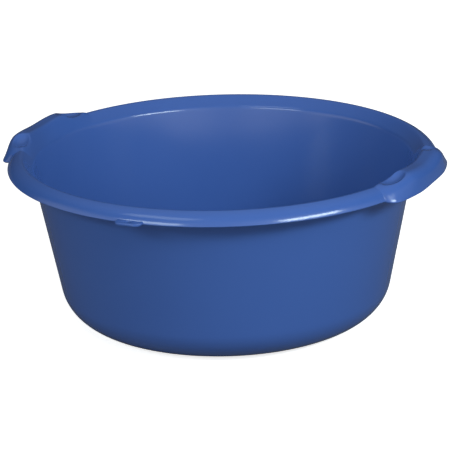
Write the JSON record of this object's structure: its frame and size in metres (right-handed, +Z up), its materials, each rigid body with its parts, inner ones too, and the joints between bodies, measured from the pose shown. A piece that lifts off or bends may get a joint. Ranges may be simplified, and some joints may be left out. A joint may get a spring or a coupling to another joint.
{
  "type": "washing up bowl",
  "caption": "Round plastic washing up bowl with sloping sides, a turned-over rim, raised side grips with thumb rests, and a small hanging tab.",
  "frame": {"origin": "on the bowl's axis, in the plane of the table that it stands on", "axes": "+Z up along the bowl's axis, +X and -X to the middles of the grips, -Y to the hanging tab"},
  "size_m": [0.3724, 0.3676, 0.1496],
  "materials": {
    "bowl_plastic": "satin gloss, as moulded"
  },
  "bodies": {
    "root": {"floor_panel": "bowl_plastic", "foot_ring": "bowl_plastic", "gate_mark": "bowl_plastic", "base_corner": "bowl_plastic", "side_wall": "bowl_plastic", "rim_front": "bowl_plastic", "rim_rear": "bowl_plastic", "right_grip": "bowl_plastic", "left_grip": "bowl_plastic", "front_thumb_rests": "bowl_plastic", "rear_thumb_rests": "bowl_plastic", "hanging_tab": "bowl_plastic"}
  },
  "joints": []
}
